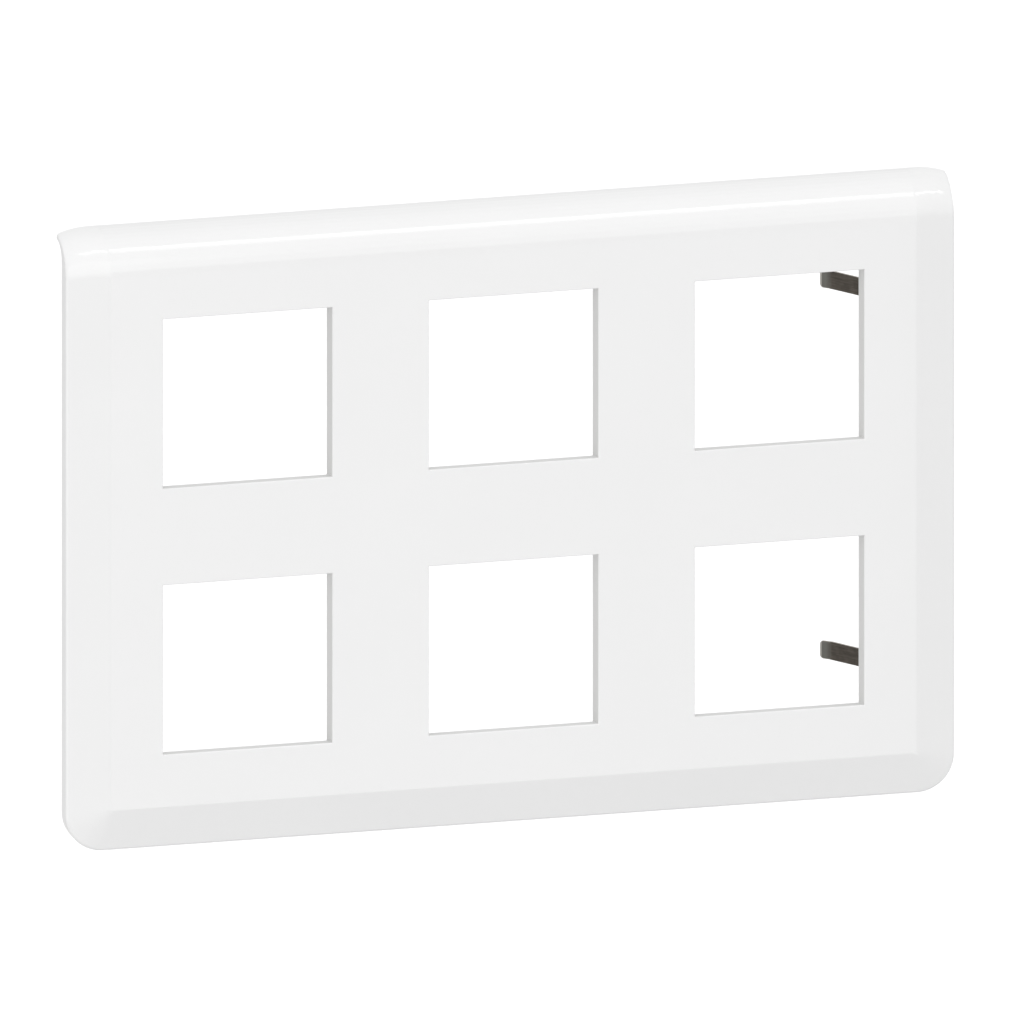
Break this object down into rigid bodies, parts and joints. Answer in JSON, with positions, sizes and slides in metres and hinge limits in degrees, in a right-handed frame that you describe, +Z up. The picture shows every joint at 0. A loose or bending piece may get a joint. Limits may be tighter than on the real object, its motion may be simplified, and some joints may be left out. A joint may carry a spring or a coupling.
{
  "type": "switch plate",
  "caption": "Rectangular wall plate with square device windows, sloped margins and a rolled top edge, held on its fixing frame by bent spring clips.",
  "frame": {"origin": "middle of the grid of windows, on the wall plane that the rolled top edge reaches back to", "axes": "+X to the right seen from the front, +Y into the wall, +Z up; the plate faces -Y"},
  "size_m": [0.2372, 0.0258, 0.1645],
  "materials": {
    "white_plastic": "moulded gloss",
    "spring_steel": "dark oil-tempered strip"
  },
  "bodies": {
    "cover_plate": {"cover_plate": "white_plastic"},
    "upper_right_clip": {"upper_right_clip": "spring_steel"},
    "lower_right_clip": {"lower_right_clip": "spring_steel"},
    "upper_left_clip": {"upper_left_clip": "spring_steel"},
    "lower_left_clip": {"lower_left_clip": "spring_steel"}
  },
  "joints": [
    {"name": "upper_right_clip_flex", "type": "hinge", "parent": "cover_plate", "child": "upper_right_clip", "pos_m": [0.09788, -0.0083, 0.0495], "axis": [0, 0, 1], "range_deg": [0, 5], "stiffness_Nm_per_rad": 1},
    {"name": "lower_right_clip_flex", "type": "hinge", "parent": "cover_plate", "child": "lower_right_clip", "pos_m": [0.09788, -0.0083, -0.0495], "axis": [0, 0, 1], "range_deg": [0, 5], "stiffness_Nm_per_rad": 1},
    {"name": "upper_left_clip_flex", "type": "hinge", "parent": "cover_plate", "child": "upper_left_clip", "pos_m": [-0.09788, -0.0083, 0.0495], "axis": [0, 0, -1], "range_deg": [0, 5], "stiffness_Nm_per_rad": 1},
    {"name": "lower_left_clip_flex", "type": "hinge", "parent": "cover_plate", "child": "lower_left_clip", "pos_m": [-0.09788, -0.0083, -0.0495], "axis": [0, 0, -1], "range_deg": [0, 5], "stiffness_Nm_per_rad": 1}
  ]
}
